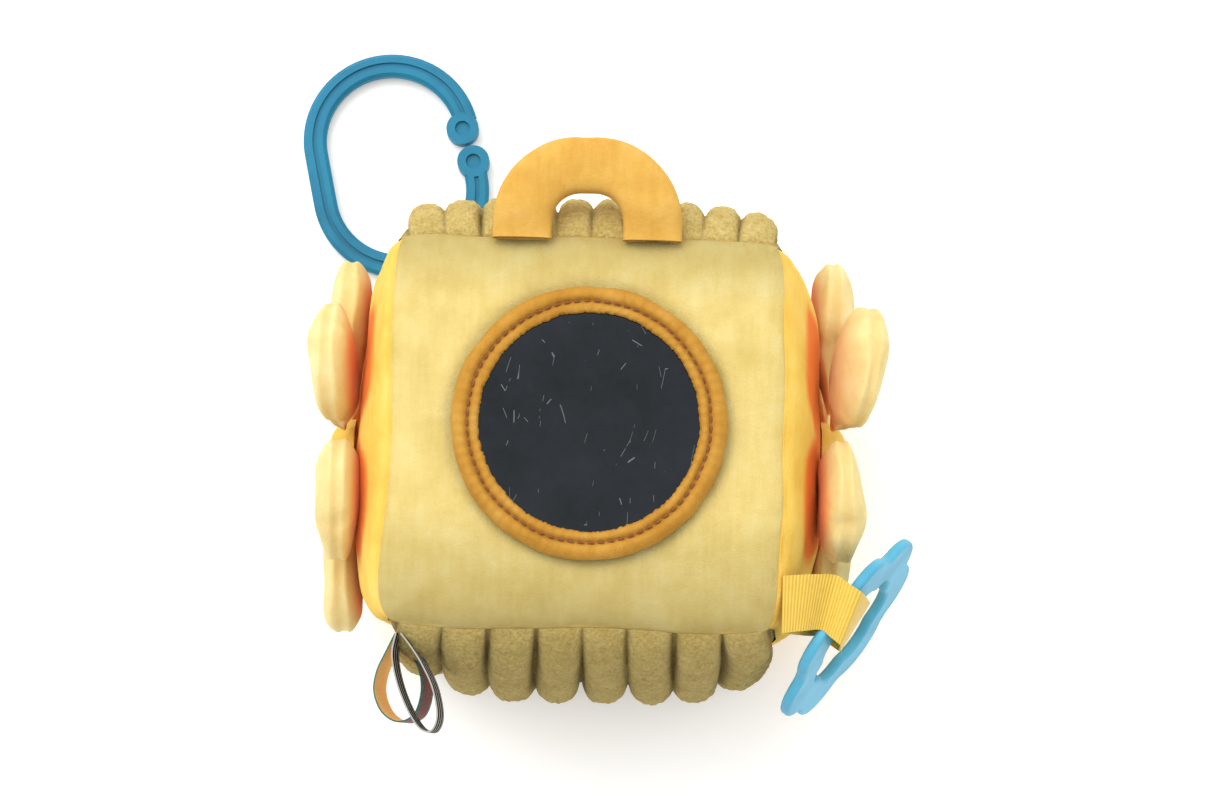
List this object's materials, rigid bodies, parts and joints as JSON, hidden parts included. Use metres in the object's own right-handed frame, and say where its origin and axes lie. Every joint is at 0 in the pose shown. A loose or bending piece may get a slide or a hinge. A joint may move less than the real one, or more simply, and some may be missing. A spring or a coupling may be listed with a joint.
{
  "type": "baby activity cube",
  "caption": "Soft stuffed cube lying on its back, with a round padded mirror, petal flowers on both sides, ribbed ends, an arched handle, a link clip, a wavy teether and ribbon tags.",
  "frame": {"origin": "middle of the back panel, on the surface the cube lies on", "axes": "+Z out of the mirror, +Y towards the handle, +X to the right when looking at the mirror"},
  "size_m": [0.2127, 0.246, 0.1375],
  "materials": {
    "pale_plush": "short pile plush, matt",
    "gold_plush": "short pile plush, matt",
    "ribbed_plush": "chunky ribbed plush with a long soft pile",
    "petal_plush": "short pile plush, matt",
    "handle_plush": "short pile plush, matt",
    "rim_plush": "velour with a raw cut inner edge",
    "backing_felt": "felt",
    "filling": "loose polyester fibre",
    "gold_ribbon": "grosgrain ribbon, ribs across",
    "striped_ribbon": "woven ribbon, dark with pale lines along it",
    "lined_ribbon": "woven ribbon, dark red outside, orange inside, scalloped green edge",
    "thread": "sewing thread",
    "mirror_sheet": "plastic mirror sheet, fine scratches",
    "clip_plastic": "moulded, smooth",
    "teether_plastic": "moulded, smooth",
    "rattle_plastic": "moulded, plain",
    "bead_plastic": "moulded, plain"
  },
  "bodies": {
    "cube": {"front_panel": "pale_plush", "back_panel": "pale_plush", "left_side_panel": "gold_plush", "right_side_panel": "gold_plush", "top_ribbed_panel": "ribbed_plush", "bottom_ribbed_panel": "ribbed_plush", "body_stuffing": "filling", "rattle_case_upper": "rattle_plastic", "rattle_case_lower": "rattle_plastic", "mirror_backing_pad": "backing_felt", "mirror": "mirror_sheet", "mirror_rim": "rim_plush", "mirror_stitching": "thread", "left_flower_button": "gold_plush", "right_flower_button": "gold_plush"},
    "handle": {"handle_cover": "handle_plush", "handle_filling": "filling"},
    "left_petal_1": {"left_petal_1_cover": "petal_plush", "left_petal_1_filling": "filling"},
    "left_petal_2": {"left_petal_2_cover": "petal_plush", "left_petal_2_filling": "filling"},
    "left_petal_3": {"left_petal_3_cover": "petal_plush", "left_petal_3_filling": "filling"},
    "left_petal_4": {"left_petal_4_cover": "petal_plush", "left_petal_4_filling": "filling"},
    "left_petal_5": {"left_petal_5_cover": "petal_plush", "left_petal_5_filling": "filling"},
    "left_petal_6": {"left_petal_6_cover": "petal_plush", "left_petal_6_filling": "filling"},
    "right_petal_1": {"right_petal_1_cover": "petal_plush", "right_petal_1_filling": "filling"},
    "right_petal_2": {"right_petal_2_cover": "petal_plush", "right_petal_2_filling": "filling"},
    "right_petal_3": {"right_petal_3_cover": "petal_plush", "right_petal_3_filling": "filling"},
    "right_petal_4": {"right_petal_4_cover": "petal_plush", "right_petal_4_filling": "filling"},
    "right_petal_5": {"right_petal_5_cover": "petal_plush", "right_petal_5_filling": "filling"},
    "right_petal_6": {"right_petal_6_cover": "petal_plush", "right_petal_6_filling": "filling"},
    "teether_ribbon": {"teether_ribbon": "gold_ribbon"},
    "teether": {"teether": "teether_plastic"},
    "clip_tab": {"clip_tab": "gold_ribbon"},
    "link_clip": {"link_clip": "clip_plastic"},
    "lined_tag": {"lined_tag": "lined_ribbon"},
    "striped_tag": {"striped_tag": "striped_ribbon"},
    "rattle_beads": {"rattle_beads": "bead_plastic"}
  },
  "joints": [
    {"name": "handle_bend", "type": "hinge", "parent": "cube", "child": "handle", "pos_m": [-0.0016, 0.0651, 0.131], "axis": [1, 0, 0], "range_deg": [0, 95], "stiffness_Nm_per_rad": 0.03},
    {"name": "left_petal_1_bend", "type": "hinge", "parent": "cube", "child": "left_petal_1", "pos_m": [-0.084, 0.0138, 0.064], "axis": [0, 0, 1], "range_deg": [0, 20], "stiffness_Nm_per_rad": 0.02},
    {"name": "left_petal_2_bend", "type": "hinge", "parent": "cube", "child": "left_petal_2", "pos_m": [-0.084, 0.0078, 0.07439], "axis": [0, -0.866, 0.5], "range_deg": [0, 20], "stiffness_Nm_per_rad": 0.02},
    {"name": "left_petal_3_bend", "type": "hinge", "parent": "cube", "child": "left_petal_3", "pos_m": [-0.084, -0.0042, 0.07439], "axis": [0, -0.866, -0.5], "range_deg": [0, 20], "stiffness_Nm_per_rad": 0.02},
    {"name": "left_petal_4_bend", "type": "hinge", "parent": "cube", "child": "left_petal_4", "pos_m": [-0.084, -0.0102, 0.064], "axis": [0, 0, -1], "range_deg": [0, 20], "stiffness_Nm_per_rad": 0.02},
    {"name": "left_petal_5_bend", "type": "hinge", "parent": "cube", "child": "left_petal_5", "pos_m": [-0.084, -0.0042, 0.05361], "axis": [0, 0.866, -0.5], "range_deg": [0, 20], "stiffness_Nm_per_rad": 0.02},
    {"name": "left_petal_6_bend", "type": "hinge", "parent": "cube", "child": "left_petal_6", "pos_m": [-0.084, 0.0078, 0.05361], "axis": [0, 0.866, 0.5], "range_deg": [0, 20], "stiffness_Nm_per_rad": 0.02},
    {"name": "right_petal_1_bend", "type": "hinge", "parent": "cube", "child": "right_petal_1", "pos_m": [0.084, 0.017, 0.064], "axis": [0, 0, -1], "range_deg": [0, 20], "stiffness_Nm_per_rad": 0.02},
    {"name": "right_petal_2_bend", "type": "hinge", "parent": "cube", "child": "right_petal_2", "pos_m": [0.084, 0.011, 0.07439], "axis": [0, 0.866, -0.5], "range_deg": [0, 20], "stiffness_Nm_per_rad": 0.02},
    {"name": "right_petal_3_bend", "type": "hinge", "parent": "cube", "child": "right_petal_3", "pos_m": [0.084, -0.001, 0.07439], "axis": [0, 0.866, 0.5], "range_deg": [0, 5], "stiffness_Nm_per_rad": 0.02},
    {"name": "right_petal_4_bend", "type": "hinge", "parent": "cube", "child": "right_petal_4", "pos_m": [0.084, -0.007, 0.064], "axis": [0, 0, 1], "range_deg": [0, 2], "stiffness_Nm_per_rad": 0.02},
    {"name": "right_petal_5_bend", "type": "hinge", "parent": "cube", "child": "right_petal_5", "pos_m": [0.084, -0.001, 0.05361], "axis": [0, -0.866, 0.5], "range_deg": [0, 20], "stiffness_Nm_per_rad": 0.02},
    {"name": "right_petal_6_bend", "type": "hinge", "parent": "cube", "child": "right_petal_6", "pos_m": [0.084, 0.011, 0.05361], "axis": [0, -0.866, -0.5], "range_deg": [0, 20], "stiffness_Nm_per_rad": 0.02},
    {"name": "ribbon_flap", "type": "hinge", "parent": "cube", "child": "teether_ribbon", "pos_m": [0.0628, -0.052, 0.127], "axis": [0, 1, 0], "range_deg": [-60, 0], "stiffness_Nm_per_rad": 0.01},
    {"name": "teether_swing", "type": "hinge", "parent": "teether_ribbon", "child": "teether", "pos_m": [0.08157, -0.05384, 0.11142], "axis": [0.5762, 0.8173, 0], "range_deg": [-6, 0]},
    {"name": "tab_bend", "type": "hinge", "parent": "cube", "child": "clip_tab", "pos_m": [-0.0644, 0.0672, 0.0036], "axis": [0.9872, 0.1592, 0], "range_deg": [0, 35], "stiffness_Nm_per_rad": 0.004},
    {"name": "clip_swing", "type": "hinge", "parent": "clip_tab", "child": "link_clip", "pos_m": [-0.06561, 0.0747, 0.004], "axis": [0.9872, 0.1592, 0], "range_deg": [0, 3]},
    {"name": "lined_tag_bend", "type": "hinge", "parent": "cube", "child": "lined_tag", "pos_m": [-0.0605, -0.0666, 0.1104], "axis": [1, 0, 0], "range_deg": [0, 2], "stiffness_Nm_per_rad": 0.001},
    {"name": "striped_tag_bend", "type": "hinge", "parent": "cube", "child": "striped_tag", "pos_m": [-0.0605, -0.0666, 0.1214], "axis": [1, 0, 0], "range_deg": [-20, 0], "stiffness_Nm_per_rad": 0.001},
    {"name": "beads_shake", "type": "slide", "parent": "cube", "child": "rattle_beads", "axis": [0, 0, 1], "range_m": [0, 0.012]}
  ]
}
